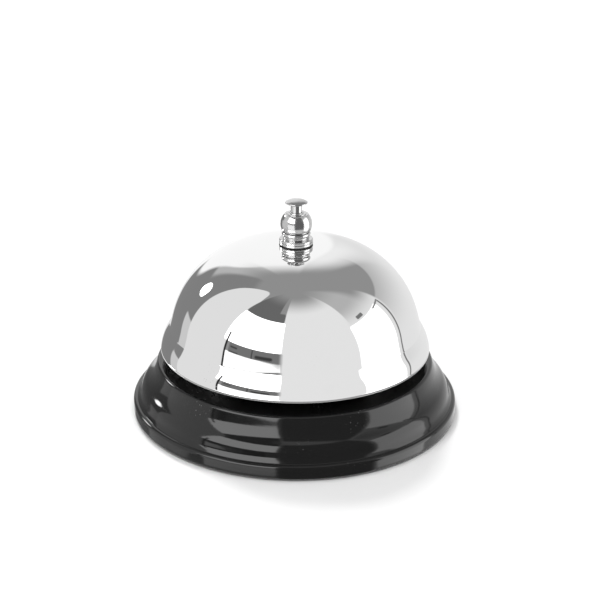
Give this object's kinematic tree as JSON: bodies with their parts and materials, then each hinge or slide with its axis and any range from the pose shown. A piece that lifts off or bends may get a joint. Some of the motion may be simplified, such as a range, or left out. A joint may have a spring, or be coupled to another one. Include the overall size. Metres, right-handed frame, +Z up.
{
  "type": "service bell",
  "caption": "Desk service bell: domed chrome bell on a stepped gloss black round base, with a push button on a turned finial that swings a hammer against the bell.",
  "frame": {"origin": "on the bell's axis, at the height of the rubber feet's lower faces", "axes": "+Z up along the bell's axis, +X towards the side where the hammer meets the bell, +Y to the back"},
  "size_m": [0.085, 0.085, 0.0569],
  "materials": {
    "black_enamel": "gloss black stove enamel on pressed steel",
    "black_backing": "satin black paint on the bottom plate",
    "bell_chrome": "mirror chrome plate on pressed steel",
    "turned_chrome": "bright chrome plate over turned brass, faint turning marks",
    "zinc_steel": "zinc-plated steel, lightly brushed",
    "spring_steel": "bright spring steel",
    "black_rubber": "soft black rubber",
    "black_fibre": "black vulcanised fibre",
    "white_nylon": "natural nylon"
  },
  "bodies": {
    "base": {"base_pan": "black_enamel", "bottom_plate": "black_backing", "rubber_feet": "black_rubber", "base_standoff": "zinc_steel", "bottom_screw": "zinc_steel", "striker_bracket": "zinc_steel", "bracket_rivets": "zinc_steel", "pivot_pin": "zinc_steel", "pivot_clips": "spring_steel", "bell_post": "zinc_steel", "hex_nuts": "zinc_steel", "lock_washer": "spring_steel", "lower_washer": "black_fibre", "upper_washer": "black_fibre", "bell_dome": "bell_chrome", "finial_nut": "turned_chrome", "return_spring": "spring_steel"},
    "plunger": {"plunger_rod": "turned_chrome", "press_button": "turned_chrome", "stop_ring": "spring_steel", "plunger_tip": "white_nylon"},
    "striker": {"striker_lever": "zinc_steel", "striker_sleeve": "zinc_steel", "striker_hammer": "zinc_steel", "hammer_rivet": "zinc_steel"}
  },
  "joints": [
    {"name": "button_press", "type": "slide", "parent": "base", "child": "plunger", "axis": [0, 0, 1], "range_m": [-0.0018, 0], "stiffness_N_per_m": 700, "springref_m": 0.0012, "deforming": ["return_spring"]},
    {"name": "striker_swing", "type": "hinge", "parent": "base", "child": "striker", "pos_m": [0.0058, 0, 0.0256], "axis": [0, -1, 0], "range_deg": [0, 18]}
  ],
  "couplings": [
    {"joint": "striker_swing", "follows": "button_press", "rad_per_m": -172.41}
  ]
}
